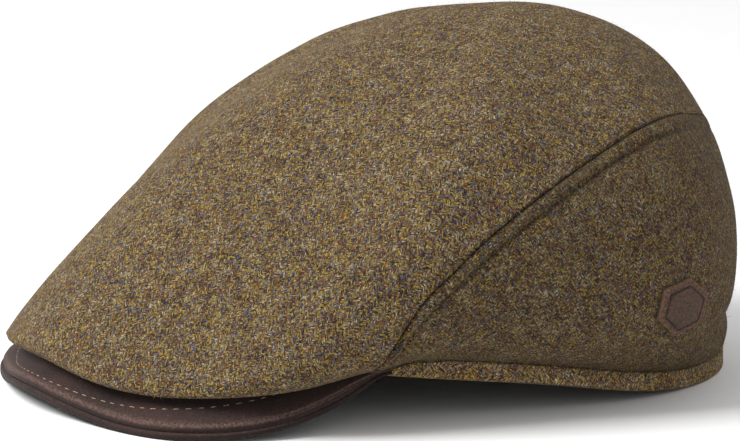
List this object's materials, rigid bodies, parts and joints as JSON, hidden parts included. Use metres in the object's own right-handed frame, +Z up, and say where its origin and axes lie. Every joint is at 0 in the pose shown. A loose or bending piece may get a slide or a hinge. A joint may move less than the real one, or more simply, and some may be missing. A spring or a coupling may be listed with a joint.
{
  "type": "flat cap",
  "caption": "Soft flat cap with a full rounded crown, side seams, a narrow band round the head opening, a short curved leather peak under the crown's front and a small six-sided side patch",
  "frame": {"origin": "middle of the bounding box, on the surface that the cap rests on", "axes": "+Z up; the peak points to -Y and the back of the cap to +Y; +X is the wearer's left, the side with the patch"},
  "size_m": [0.2014, 0.2456, 0.118],
  "materials": {
    "tweed": "coarse wool tweed in mustard, brown, rust and grey-blue, with a fuzzy nap",
    "tweed_side": "the same wool tweed, a little darker",
    "tweed_band": "the same wool tweed, folded and stitched",
    "peak_leather": "soft matt brown leather with a fine nap",
    "patch_leather": "soft matt reddish brown leather, embossed"
  },
  "bodies": {
    "root": {"crown_top": "tweed", "side_panel_left": "tweed_side", "side_panel_right": "tweed_side", "band": "tweed_band", "peak_top": "peak_leather", "peak_under": "peak_leather", "side_patch": "patch_leather"}
  },
  "joints": []
}
